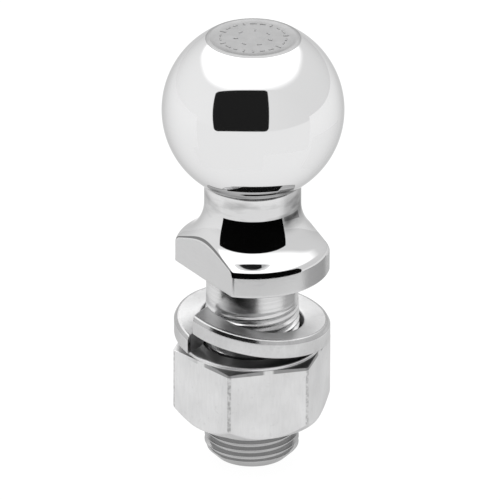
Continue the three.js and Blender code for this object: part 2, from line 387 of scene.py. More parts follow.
@dataclass(frozen=True)
class ChromeFinish:
    """Mirror chrome with satin zones where the forging was machined or stamped before plating, a dark line
    of painted shade on the flats' rounded edges, and painted shade on the neck's right side.

    Each Ramp says where a zone starts and where it is complete, in mm.

    Attributes:
        reflectance: Grey level that the ball's mirror returns.
        neck_reflectance: Grey level of neck and flare.
        flat_reflectance: Grey level of the milled flats and the turned rim.
        top_reflectance: Grey level of the stamped top flat.
        neck_stain: How far the streaks on the neck darken it.
        neck_shade: How far the neck's right side is darker.
        edge_shade_share: Share of the grey level left on the flats' rounded edges by the painted shade drawn
            there as a dark line.
        mirror_roughness: Roughness of the polished zones.
        flat_angle: Direction of the milled flats, in degrees from the front.
        ball_start: Height of the change from neck to ball.
        below_neck: Height under which the flats are.
        flat_start: Distance of the milled flats from the middle plane.
        rim_start: Radius of the turned rim.
        rim_end: Height of the rim's upper edge.
        top_start: Height of the stamped top flat.
        seat_start: Height of the flange's underside.
        shaded_edge_across: Distances of the flats' rounded edges from the middle plane, where the line of
            painted shade runs.
        shaded_edge_heights: Heights between which that painted shade darkens those edges.
        neck_heights: Heights between which the neck is streaked.
        neck_side: Distance to the right at which the neck turns darker.
    """

    reflectance: float = 0.765
    neck_reflectance: float = 0.665
    flat_reflectance: float = 0.63
    top_reflectance: float = 0.36
    neck_stain: float = 0.3
    neck_shade: float = 0.26
    edge_shade_share: float = 0.3
    mirror_roughness: float = 0.028
    flat_roughness: float = 0.42
    top_roughness: float = 0.4
    rim_roughness: float = 0.24
    rim_anisotropy: float = 0.55
    flat_angle: float = -56.0
    grain_depth: float = 0.004
    metallic: float = 0.994
    edge_tint: float = 0.62
    ball_start: Ramp = (76.0, 81.0)
    below_neck: Ramp = (68.0, 66.0)
    flat_start: Ramp = (15.30, 15.37)
    rim_start: Ramp = (20.24, 20.3)
    rim_end: Ramp = (59.9, 59.65)
    top_start: Ramp = (119.15, 119.2)
    seat_start: Ramp = (54.2, 54.05)
    shaded_edge_across: tuple[Ramp, Ramp] = ((14.9, 14.98), (15.3, 15.24))
    shaded_edge_heights: tuple[Ramp, Ramp] = ((54.0, 60.5), (71.0, 67.0))
    neck_heights: tuple[Ramp, Ramp] = ((67.0, 71.0), (80.0, 77.0))
    neck_side: Ramp = (6.5, 9.5)

    def tone(self, s: Shader, zones: dict[str, object], machined: object) -> object:
        """Grey level of the reflection."""
        x, _, z = s.separate(s.coords)
        start, end = self.ball_start
        tone = s.remap(z, start * MM, end * MM, self.neck_reflectance, self.reflectance)
        for zone, value in (("rim", self.flat_reflectance), ("flat", self.flat_reflectance),
                            ("top", self.top_reflectance)):
            tone = s.mix(zones[zone], tone, value)
        streaks = s.remap(s.noise(s.stretched((1.0, 1.0, 14.0)), 420.0, 5.0), 0.3, 0.7, -0.018, 0.018)
        tone = s.math("ADD", tone, s.times(streaks, machined))
        # Painted shade: a dark line along the rounded upper edges of the wrench flats.
        tone = s.times(tone, s.fade_to(zones["edge"], self.edge_shade_share))
        stain = s.remap(s.noise(s.stretched((1.0, 1.0, 3.2)), 75.0, 3.0), 0.5, 0.72, 0.0, -self.neck_stain)
        side = s.times(s.ramps(x, self.neck_side), -self.neck_shade)
        on_neck = s.ramps(z, *self.neck_heights)
        tone = s.math("ADD", tone, s.times(on_neck, s.math("ADD", stain, side)))
        wide = s.remap(s.noise(s.coords, 35.0, 2.0), 0.3, 0.7, -0.006, 0.006)
        return s.math("ADD", tone, wide)

    def roughness(self, s: Shader, zones: dict[str, object]) -> object:
        """Roughness, with faint smudges on the mirror."""
        smudge = s.remap(s.noise(s.coords, 90.0, 4.0), 0.35, 0.75, 0.0, 0.012)
        rough = s.math("ADD", self.mirror_roughness, smudge)
        for zone, value in (("rim", self.rim_roughness), ("flat", self.flat_roughness),
                            ("seat", self.flat_roughness), ("top", self.top_roughness)):
            rough = s.mix(zones[zone], rough, value)
        return rough

    def material(self) -> bpy.types.Material:
        """Builds the node material."""
        s = Shader("chrome_over_forging")
        x, y, z = s.separate(s.coords)
        normal = front_angle(self.flat_angle)
        across = s.math("ABSOLUTE", s.math("ADD", s.times(x, normal.x), s.times(y, normal.y)))
        zones = {
            "flat": s.times(s.ramps(z, self.below_neck), s.ramps(across, self.flat_start)),
            "rim": s.times(s.ramps(s.length(x, y), self.rim_start), s.ramps(z, self.rim_end)),
            "top": s.ramps(z, self.top_start),
            "seat": s.ramps(z, self.seat_start),
            # The edge zone is where the painted shade line on the flats' rounded edges lies.
            "edge": s.times(s.ramps(across, *self.shaded_edge_across), s.ramps(z, *self.shaded_edge_heights)),
        }
        machined = s.math("MAXIMUM", s.math("MAXIMUM", zones["flat"], zones["rim"]),
                          s.math("MAXIMUM", zones["top"], zones["seat"]))
        grain = s.times(machined, s.noise(s.stretched((1.0, 1.0, 3.0)), 2600.0, 3.0))
        s.metal(self.metallic, self.edge_tint, self.tone(s, zones, machined), self.roughness(s, zones),
                s.bump(grain, self.grain_depth * MM))
        s.feed(s.socket("Anisotropic"), s.times(zones["rim"], self.rim_anisotropy))
        s.feed(s.socket("Tangent"), s.radial_tangent())
        return s.material


@dataclass(frozen=True)
class TurnedFinish:
    """Steel turned on a lathe: fine rings, reflections drawn out along the axis, and painted shade on the
    lower end where asked.

    Attributes:
        name: Name of the material.
        reflectance: Grey level that the metal returns.
        roughness: Roughness before the rings' variation.
        anisotropy: How far reflections are drawn out along the axis.
        ring_depth: Depth of the turning marks, in mm.
        shaded_end: Heights in mm where the painted shade on the lower end starts to fade and where it is
            gone.
        shade_share: Share of the grey level left on that end by the painted shade.
    """

    name: str
    reflectance: float = 0.66
    roughness: float = 0.22
    anisotropy: float = 0.7
    ring_depth: float = 0.006
    shaded_end: Ramp | None = None
    shade_share: float = 0.66

    def material(self) -> bpy.types.Material:
        """Builds the node material."""
        s = Shader(self.name)
        rings = s.noise(s.stretched((0.02, 0.02, 1.0)), 1500.0, 4.0)
        blotch = s.noise(s.coords, 160.0, 4.0)
        tone = s.math("ADD", self.reflectance, s.remap(rings, 0.3, 0.7, -0.05, 0.05))
        tone = s.math("ADD", tone, s.remap(blotch, 0.3, 0.7, -0.03, 0.03))
        # Painted shade on the lower end.
        if self.shaded_end:
            start, end = self.shaded_end
            height = s.separate(s.coords)[2]
            tone = s.times(tone, s.remap(height, start * MM, end * MM, self.shade_share, 1.0))
        rough = s.remap(blotch, 0.3, 0.7, self.roughness - 0.05, self.roughness + 0.06)
        s.metal(1.0, METAL_EDGE_TINT, tone, rough, s.bump(rings, self.ring_depth * MM))
        s.socket("Anisotropic").default_value = self.anisotropy
        s.feed(s.socket("Tangent"), s.radial_tangent())
        return s.material


@dataclass(frozen=True)
class PlatedFinish:
    """Satin plated steel with a fine grain and soft mottling, and painted shade in a given zone and on faces
    that look down.

    Each Ramp says where a zone starts and where it is complete, in mm. A zone without one is left out.

    Attributes:
        name: Name of the material.
        reflectance: Grey level that the metal returns.
        roughness: Mean roughness.
        grain: Stretch of the fine grain along x, y and z.
        grain_depth: Depth of the grain, in mm.
        mottle: How far the mottling moves the grey level.
        shade_share: Share of the grey level left by the painted shade, in its zone and on faces that look
            down.
        shade_heights: Heights of the painted shade's zone.
        shade_side: Distances to the right at which the painted shade's zone starts.
        worn: Distance from the axis at which the corners are worn and spotted.
        unshaded_ring: Distances from the axis between which the painted shade's zone is left out, so a
            highlight line stays bright.
        smooth_ring: Distances from the axis between which the plating is smoother and darker.
        looking_down: Upward parts of the normal at which a face starts to look down and fully does; such
            faces get the painted shade.
    """

    name: str
    reflectance: float
    roughness: float
    grain: Triple = (1.0, 1.0, 0.15)
    grain_depth: float = 0.012
    mottle: float = 0.035
    shade_share: float = 0.42
    shade_heights: tuple[Ramp, ...] = ()
    shade_side: tuple[Ramp, ...] = ()
    worn: tuple[Ramp, ...] = ()
    unshaded_ring: tuple[Ramp, ...] = ()
    smooth_ring: tuple[Ramp, ...] = ()
    smooth_tone: float = 0.8
    smooth_roughness: float = 0.55
    looking_down: Point = (-0.6, -0.9)

    def tone(self, s: Shader, cloud: object, grain: object, smooth: object) -> object:
        """Grey level of the reflection."""
        x, y, height = s.separate(s.coords)
        radius = s.length(x, y)
        spots = s.noise(s.coords, 700.0, 3.0)
        specks = s.remap(s.noise(s.coords, 1100.0, 5.0), 0.36, 0.62, -0.05, -0.3)
        tone = s.math("ADD", self.reflectance, s.remap(cloud, 0.3, 0.7, -self.mottle, self.mottle))
        for change in (s.remap(grain, 0.3, 0.7, -0.02, 0.02), s.remap(spots, 0.62, 0.75, 0.0, -0.06),
                       s.times(s.ramps(radius, *self.worn), specks)):
            tone = s.math("ADD", tone, change)
        # Painted shade: the zone set by height, side and ring, and every face that looks down.
        facing = s.separate(s.nodes.new("ShaderNodeNewGeometry").outputs["Normal"])[2]
        painted_shade = s.times(s.ramps(height, *self.shade_heights), s.ramps(x, *self.shade_side),
                       s.math("SUBTRACT", 1.0, s.ramps(radius, *self.unshaded_ring)))
        painted_shade = s.math("MAXIMUM", painted_shade, s.step(facing, *self.looking_down))
        return s.times(tone, s.fade_to(painted_shade, self.shade_share), s.fade_to(smooth, self.smooth_tone))

    def material(self) -> bpy.types.Material:
        """Builds the node material."""
        s = Shader(self.name)
        x, y, _ = s.separate(s.coords)
        grain = s.noise(s.stretched(self.grain), 1800.0, 4.0)
        cloud = s.noise(s.coords, 110.0, 5.0)
        smooth = s.ramps(s.length(x, y), *self.smooth_ring)
        rough = s.remap(cloud, 0.3, 0.7, self.roughness - 0.05, self.roughness + 0.06)
        rough = s.times(rough, s.fade_to(smooth, self.smooth_roughness))
        s.metal(1.0, METAL_EDGE_TINT, self.tone(s, cloud, grain, smooth), rough,
                s.bump(grain, self.grain_depth * MM))
        return s.material


# ---------------------------------------------------------------- pieces


@dataclass
class ForgedBall:
    """Ball and neck, down to where the flare begins.

    Attributes:
        ball_radius: Radius of the ball.
        ball_z: Height of the ball's centre.
        top_flat_radius: Radius of the flat on the ball.
        flat_sink: Depth that the top flat is set down, so the raised marks stay in the CAD box.
        top_edge: Length along the ball, and across the flat, taken by the flat's rounded edge.
        edge_foot: Inset and rise of that edge's lowest point, from the flat's outline.
        neck_radius: Radius of the neck.
        fillet: Radius of the fillet between neck and ball.
        neck_bottom: Height of the neck's lower end.
    """

    ball_radius: float = 23.795
    ball_z: float = 98.9
    top_flat_radius: float = 11.7
    flat_sink: float = 0.16
    top_edge: float = 0.5
    edge_foot: Point = (0.35, 0.05)
    neck_radius: float = 12.7
    fillet: float = 1.6
    neck_bottom: float = 72.5
    segments: int = 300

    def profile(self) -> list[Point]:
        """Outline from the foot of the neck up to the middle of the top flat."""
        fillet_r = self.neck_radius + self.fillet
        fillet_z = self.ball_z - math.sqrt((self.ball_radius + self.fillet) ** 2 - fillet_r**2)
        fillet_end = math.degrees(math.atan2(self.ball_z - fillet_z, -fillet_r))
        neck = line((self.neck_radius, self.neck_bottom), (self.neck_radius, fillet_z), 6)
        fillet = arc((fillet_r, fillet_z), self.fillet, 180.0, fillet_end, 10)
        flat_edge = math.degrees(math.acos(self.top_flat_radius / self.ball_radius))
        turn = math.degrees(self.top_edge / self.ball_radius)
        ball = arc((0.0, self.ball_z), self.ball_radius, fillet_end - 180.0, flat_edge - turn, 110)
        flat_z = self.ball_z + math.sqrt(self.ball_radius**2 - self.top_flat_radius**2) - self.flat_sink
        edge_inner, edge_rise = self.edge_foot
        edge = line(ball[-1], (self.top_flat_radius - edge_inner, flat_z + edge_rise), 3)
        flat = line((self.top_flat_radius - self.top_edge, flat_z), (0.0, flat_z), 6)
        return chain(neck, fillet, ball, edge, flat)

    def build(self) -> bpy.types.Object:
        """Spins the outline."""
        obj = spin_profile("forged_ball", self.profile(), self.segments)
        smooth_by_angle(obj, 50.0)
        return obj

    def dress(self, obj: bpy.types.Object) -> None:
        """Chrome finish; the piece rides on the ball stud's body and hides the CAD part it replaces."""
        obj.data.materials.append(ChromeFinish().material())
        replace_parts(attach(obj, "ball_stud"), "ball_stud")


@dataclass
class FlaredFlange:
    """Hollow flare and flange, with two parallel milled wrench flats.

    Attributes:
        top: Height at which the neck's straight part ends.
        neck_radius: Radius of the neck.
        hollow_radius: Radius of the concave sweep out of the neck.
        flare_slope: Steepest slope of the surface, in degrees from upright.
        crown_radius: Radius of the rounding between flare and rim.
        crown_z: Height of that rounding's centre.
        rim_radius: Radius of the rim.
        seat_z: Height of the underside.
        flat_distance: Distance of the wrench flats from the axis.
        flat_angle: Direction of the first flat.
        flat_round: Rounding between flat and flare.
        corner_round: Rounding between flat and rim.
        round_rise: Height over which the one rounding turns into the other.
    """

    top: float = 72.5
    neck_radius: float = 12.7
    hollow_radius: float = 12.2
    flare_slope: float = 55.0
    crown_radius: float = 2.35
    crown_z: float = 59.57
    rim_radius: float = 20.34
    seat_z: float = 54.0
    seat_chamfer: float = 0.5
    bore_radius: float = 11.9
    flat_distance: float = 15.4
    flat_angle: float = -56.0
    flat_round: float = 0.9
    corner_round: float = 0.35
    round_rise: float = 2.6
    segments: int = 540

    def profile(self) -> list[Point]:
        """Outline from the underside up to the foot of the neck."""
        inner = self.rim_radius - self.seat_chamfer
        seat = line((self.bore_radius, self.seat_z), (inner, self.seat_z), 8)
        low_edge = arc((inner, self.seat_z + self.seat_chamfer), self.seat_chamfer, -90.0, 0.0, 5)
        rim = line((self.rim_radius, self.seat_z + self.seat_chamfer), (self.rim_radius, self.crown_z), 14)
        crown_centre = (self.rim_radius - self.crown_radius, self.crown_z)
        crown = arc(crown_centre, self.crown_radius, 0.0, self.flare_slope, 26)
        hollow_centre = (self.neck_radius + self.hollow_radius, self.top)
        hollow = arc(hollow_centre, self.hollow_radius, 180.0 + self.flare_slope, 180.0, 60)
        waist = line(crown[-1], hollow[0], 4)
        return chain(seat, low_edge, rim, crown, waist, hollow)

    def cut_flats(self, radius: np.ndarray, height: np.ndarray, angle: np.ndarray) -> tuple:
        """Pulls the surface in to the wrench flats, with a rounded upper edge."""
        normal = front_angle(self.flat_angle)
        facing = np.abs(np.cos(angle) * normal.x + np.sin(angle) * normal.y)
        beside_flats, tolerance = 99.0, 1e-3
        limit = np.where(facing > 0.5, self.flat_distance / np.maximum(facing, 0.5), beside_flats)
        share = smooth_step(self.crown_z, self.crown_z + self.round_rise, height)
        rounding = self.corner_round + (self.flat_round - self.corner_round) * share
        cut = smooth_min(radius, limit, rounding)
        under = (height < self.seat_z + self.seat_chamfer - tolerance) & (limit < self.rim_radius)
        squeeze = np.clip((limit - self.bore_radius) / (self.rim_radius - self.bore_radius), 0.0, 1.0)
        return np.where(under, self.bore_radius + (radius - self.bore_radius) * squeeze, cut), height, angle

    def build(self) -> bpy.types.Object:
        """Spins the outline and cuts the flats."""
        obj = spin_profile("flared_flange", self.profile(), self.segments)
        reshape(obj, self.cut_flats)
        smooth_by_angle(obj, 50.0)
        return obj

    def dress(self, obj: bpy.types.Object) -> None:
        """The same chrome finish as the ball."""
        obj.data.materials.append(bpy.data.materials["chrome_over_forging"])
        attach(obj, "ball_stud")


@dataclass
class TopMarks:
    """Two rings of plain raised dashes stamped into the flat on the ball.

    Attributes:
        flat_z: Height of the flat.
        height: Height of a dash above the flat.
        ring_radius: Radius of the outer ring.
        inner_radius: Radius of the inner ring.
        long_side: Length of a dash before it is varied.
        short_side: Width of a dash.
        shortest: Share of the length that the shortest dash of the outer ring has.
        step: Share added from one length to the next; there are four.
        inner_start: Angle of the inner ring's first dash.
        inner_length: Share of the length that the inner ring's dashes have.
        edge_bevel: Bevel of a dash's edges.
    """

    flat_z: float = 119.475
    height: float = 0.14
    ring_radius: float = 8.6
    inner_radius: float = 4.6
    outer_count: int = 22
    inner_count: int = 7
    long_side: float = 1.5
    short_side: float = 0.42
    shortest: float = 0.7
    step: float = 0.15
    inner_start: float = 20.0
    inner_length: float = 0.8
    edge_bevel: float = 0.1

    def dash(self, radius: float, angle: float, turn: float, length: float) -> bpy.types.Object:
        """One raised dash with bevelled sides."""
        deselect_all()
        bpy.ops.mesh.primitive_cube_add(size=1.0)
        obj = bpy.context.active_object
        bpy.ops.object.mode_set(mode="EDIT")
        bpy.ops.mesh.select_all(action="SELECT")
        bpy.ops.transform.resize(value=(length * MM, self.short_side * MM, 2.0 * self.height * MM))
        bpy.ops.mesh.bevel(offset=self.edge_bevel * MM, segments=3, affect="EDGES")
        bpy.ops.object.mode_set(mode="OBJECT")
        place = front_angle(angle) * radius * MM
        obj.matrix_world = Matrix.Translation((place.x, place.y, self.flat_z * MM)) @ Matrix.Rotation(
            math.radians(turn), 4, "Z")
        settle(obj)
        return obj

    def build(self) -> bpy.types.Object:
        """Two rings of dashes in one mesh."""
        parts = []
        for i in range(self.outer_count):
            angle = 360.0 * i / self.outer_count
            turn = angle if i % 3 else angle + 90.0
            length = self.long_side * (self.shortest + self.step * (i % 4))
            parts.append(self.dash(self.ring_radius, angle, turn, length))
        for i in range(self.inner_count):
            angle = 360.0 * i / self.inner_count + self.inner_start
            length = self.long_side * self.inner_length
            parts.append(self.dash(self.inner_radius, angle, angle + 90.0 * (i % 2), length))
        deselect_all()
        for part in parts:
            part.select_set(True)
        bpy.context.view_layer.objects.active = parts[0]
        bpy.ops.object.join()
        obj = bpy.context.active_object
        obj.name = "top_flat_marks"
        obj.data.name = obj.name
        smooth_by_angle(obj, 50.0)
        return obj

    def dress(self, obj: bpy.types.Object) -> None:
        """The same chrome finish as the flat."""
        obj.data.materials.append(bpy.data.materials["chrome_over_forging"])
        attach(obj, "ball_stud")


@dataclass
class ScrewThread:
    """Right-hand 60 degree helical surface.

    Attributes:
        name: Name of the piece.
        major: Radius of the crests of a shank, or of the roots of a bore.
        minor: The other radius.
        bottom: Height at which the surface starts.
        top: Height at which it ends.
        inside: True for a bore, whose surface faces the axis.
    """

    name: str
    major: float
    minor: float
    bottom: float
    top: float
    inside: bool = False
    pitch: float = 25.4 / 14.0
    segments: int = 120

    def tooth(self) -> list[Point]:
        """One pitch of the outline, from groove to groove."""
        flank = (self.major - self.minor) * math.tan(math.radians(30.0))
        crest = self.pitch / 8.0 if not self.inside else self.pitch - 2.0 * flank - self.pitch / 4.0
        root = self.pitch - 2.0 * flank - crest
        start = self.bottom - 2.0 * self.pitch
        heights = (0.0, root / 2.0, root / 2.0 + flank, root / 2.0 + flank + crest,
                   root / 2.0 + 2.0 * flank + crest, self.pitch)
        radii = (self.minor, self.minor, self.major, self.major, self.minor, self.minor)
        corners = [(r, start + h) for r, h in zip(radii, heights)]
        runs = [line(a, b, n) for (a, b), n in zip(zip(corners, corners[1:]), (1, 3, 1, 3, 1))]
        return chain(*runs)

    def build(self) -> bpy.types.Object:
        """Screws the tooth up the axis and trims both ends level."""
        obj = draw_profile(self.name, self.tooth())
        bpy.ops.object.mode_set(mode="OBJECT")
        screw = obj.modifiers.new("screw", "SCREW")
        screw.screw_offset = self.pitch * MM
        screw.iterations = math.ceil((self.top - self.bottom) / self.pitch) + 4
        screw.steps = self.segments
        screw.render_steps = self.segments
        screw.use_merge_vertices = True
        screw.merge_threshold = 1e-6
        apply_all(obj)
        bpy.ops.object.mode_set(mode="EDIT")
        tidy_normals()
        for height, keep_above in ((self.bottom, True), (self.top, False)):
            bpy.ops.mesh.select_all(action="SELECT")
            bpy.ops.mesh.bisect(plane_co=(0.0, 0.0, height * MM), plane_no=(0.0, 0.0, 1.0),
                                clear_inner=keep_above, clear_outer=not keep_above, threshold=1e-7)
        bpy.ops.object.mode_set(mode="OBJECT")
        return obj


@dataclass
class Shank:
    """Threaded shank with a smooth length under the flange and a chamfered end.

    Attributes:
        crest_radius: Radius of the thread's crests.
        groove_depth: Depth of the thread.
        smooth_radius: Radius of the smooth length.
        thread_top: Height at which the thread ends.
        fade: Height over which the thread runs out.
        fade_end: Height of plain surface left between the run-out and the thread's end.
        top: Height of the shank's upper end, just inside the flange.
        rings: Number of rings along the smooth length.
        end_radius: Radius of the flat end face.
        chamfer_round: Rounding between the end chamfer and the thread.
    """

    crest_radius: float = 12.38
    groove_depth: float = 0.98
    smooth_radius: float = 12.08
    thread_top: float = 46.6
    fade: float = 8.0
    fade_end: float = 0.1
    top: float = 54.3
    rings: int = 8
    end_radius: float = 9.65
    chamfer_round: float = 0.3

    def shape_ends(self, radius: np.ndarray, height: np.ndarray, angle: np.ndarray) -> tuple:
        """Fades the groove out below the smooth length and cuts the end chamfer."""
        share = smooth_step(self.thread_top - self.fade, self.thread_top - self.fade_end, height)
        radius = radius + (self.smooth_radius - radius) * share
        cone = self.end_radius + np.maximum(height, 0.0)
        return smooth_min(radius, cone, self.chamfer_round), height, angle

    def build(self) -> bpy.types.Object:
        """Cuts the thread, then adds the smooth length and the end face."""
        obj = ScrewThread("shank", self.crest_radius, self.crest_radius - self.groove_depth, 0.0,
                          self.thread_top, segments=144).build()
        reshape(obj, self.shape_ends)
        activate(obj)
        bpy.ops.object.mode_set(mode="EDIT")
        bpy.ops.mesh.select_mode(type="VERT")
        self.select_level(obj, self.thread_top)
        for _ in range(self.rings):
            step = (self.top - self.thread_top) / self.rings * MM
            bpy.ops.mesh.extrude_region_move(TRANSFORM_OT_translate={"value": (0.0, 0.0, step)})
        self.select_level(obj, 0.0)
        bpy.ops.mesh.edge_face_add()
        tidy_normals()
        bpy.ops.object.mode_set(mode="OBJECT")
        smooth_by_angle(obj, 25.0)
        return obj

    @staticmethod
    def select_level(obj: bpy.types.Object, height: float) -> None:
        """Selects the vertices at a height, in edit mode."""
        bpy.ops.mesh.select_all(action="DESELECT")
        bpy.ops.object.mode_set(mode="OBJECT")
        for vertex in obj.data.vertices:
            vertex.select = abs(vertex.co.z - height * MM) < 1e-6
        bpy.ops.object.mode_set(mode="EDIT")

    def dress(self, obj: bpy.types.Object) -> None:
        """Turned steel."""
        # The shank's lower end, below about 17 mm, is darkened with painted shade.
        obj.data.materials.append(TurnedFinish("turned_shank", shaded_end=(15.0, 17.0)).material())
        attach(obj, "ball_stud")


@dataclass
class LockWasher:
    """One turn of left-hand spring coil, split and sprung open.

    Attributes:
        inner_radius: Inner radius of the coil.
        outer_radius: Outer radius of the coil.
        thickness: Height of the bar.
        rise_per_turn: Rise of the helix over a full turn.
        low_end: Direction of the lower end, in degrees from the front.
        gap: Angle of the split, in degrees.
        skew: Turn of the end faces at the inner radius, in degrees.
        sway: Height by which the coil leans to each side.
        sway_turn: Angle from the lower end at which the lean is highest, in degrees.
        seat_z: Height of the lowest point.
        top_outer: Width of the upper outer edge's rounding and chamfer together.
        top_round: Radius of that rounding.
        chamfer_slope: Slope of that chamfer, in degrees from upright.
        low_outer: Radius of the lower outer edge.
        low_inner: Radius of the lower inner edge.
        top_inner: Radius of the upper inner edge.
        steps: Number of steps round the coil.
        end_bevel: Bevel of the end faces' edges.
    """

    inner_radius: float = 13.4
    outer_radius: float = 20.48
    thickness: float = 5.2
    rise_per_turn: float = 6.9
    low_end: float = -55.2
    gap: float = 5.9
    skew: float = -10.0
    sway: float = 2.48
    sway_turn: float = 38.0
    seat_z: float = 33.1
    top_outer: float = 1.25
    top_round: float = 0.9
    chamfer_slope: float = 28.0
    low_outer: float = 0.5
    low_inner: float = 2.4
    top_inner: float = 0.6
    steps: int = 260
    end_bevel: float = 0.16

    def section(self) -> list[Point]:
        """Closed outline of the bar, from the lower inner corner."""
        a, b, t = self.inner_radius, self.outer_radius, self.thickness
        crest = arc((b - self.top_outer, t - self.top_round), self.top_round, self.chamfer_slope, 90.0, 8)
        chamfer_foot = crest[0][1] - (b - crest[0][0]) / math.tan(math.radians(self.chamfer_slope))
        return chain(
            line((a + self.low_inner, 0.0), (b - self.low_outer, 0.0), 8),
            arc((b - self.low_outer, self.low_outer), self.low_outer, -90.0, 0.0, 5),
            line((b, self.low_outer), (b, chamfer_foot), 8),
            line((b, chamfer_foot), crest[0], 5),
            crest,
            line((b - self.top_outer, t), (a + self.top_inner, t), 10),
            arc((a + self.top_inner, t - self.top_inner), self.top_inner, 90.0, 180.0, 5),
            line((a, t - self.top_inner), (a, self.low_inner), 5),
            arc((a + self.low_inner, self.low_inner), self.low_inner, 180.0, 270.0, 9),
        )

    def rise(self, turn: np.ndarray) -> np.ndarray:
        """Height of the coil at a turn angle: a steady helix that leans."""
        lean = self.sway * np.cos(turn - math.radians(self.sway_turn))
        return self.rise_per_turn * turn / (2.0 * math.pi) + lean

    def coil(self, radius: np.ndarray, height: np.ndarray, angle: np.ndarray) -> tuple:
        """Lifts the flat open ring to its sprung shape and skews its ends."""
        sweep = 2.0 * math.pi - math.radians(self.gap)
        guard = 1e-5
        turn = np.mod(guard - angle, 2.0 * math.pi) - guard
        low = self.rise(np.linspace(0.0, sweep, 400)).min()
        inwards = (self.outer_radius - radius) / (self.outer_radius - self.inner_radius)
        lean = math.radians(self.skew) * inwards
        from_front = math.radians(self.low_end) + lean - turn
        lifted = height + self.seat_z - low + self.rise(turn)
        return radius, lifted, from_front - math.pi / 2.0

    def build(self) -> bpy.types.Object:
        """Spins the bar, closes its ends and springs it open."""
        sweep = 2.0 * math.pi - math.radians(self.gap)
        obj = spin_profile("lock_washer_coil", self.section(), self.steps, sweep)
        activate(obj)
        bpy.ops.object.mode_set(mode="EDIT")
        bpy.ops.mesh.select_mode(type="VERT")
        bpy.ops.mesh.select_all(action="DESELECT")
        bpy.ops.mesh.select_non_manifold()
        bpy.ops.mesh.fill_holes(sides=0)
        tidy_normals()
        bpy.ops.mesh.select_mode(type="FACE")
        bpy.ops.mesh.select_all(action="DESELECT")
        bpy.ops.object.mode_set(mode="OBJECT")
        for face in obj.data.polygons:
            face.select = len(face.vertices) > 8
        bpy.ops.object.mode_set(mode="EDIT")
        bpy.ops.mesh.bevel(offset=self.end_bevel * MM, segments=2, affect="EDGES")
        bpy.ops.object.mode_set(mode="OBJECT")
        reshape(obj, self.coil)
        activate(obj)
        bpy.ops.object.mode_set(mode="EDIT")
        tidy_normals()
        bpy.ops.object.mode_set(mode="OBJECT")
        smooth_by_angle(obj, 35.0)
        return obj

    def dress(self, obj: bpy.types.Object) -> None:
        """Satin plated spring steel."""
        # Faces of the washer that look down get painted shade.
        finish = PlatedFinish("plated_spring_steel", 0.57, 0.32, (1.0, 1.0, 0.5), 0.012, 0.07,
                              smooth_ring=((19.12, 19.2), (20.44, 20.38)))
        obj.data.materials.append(finish.material())
        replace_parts(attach(obj, "lock_washer"), "lock_washer")


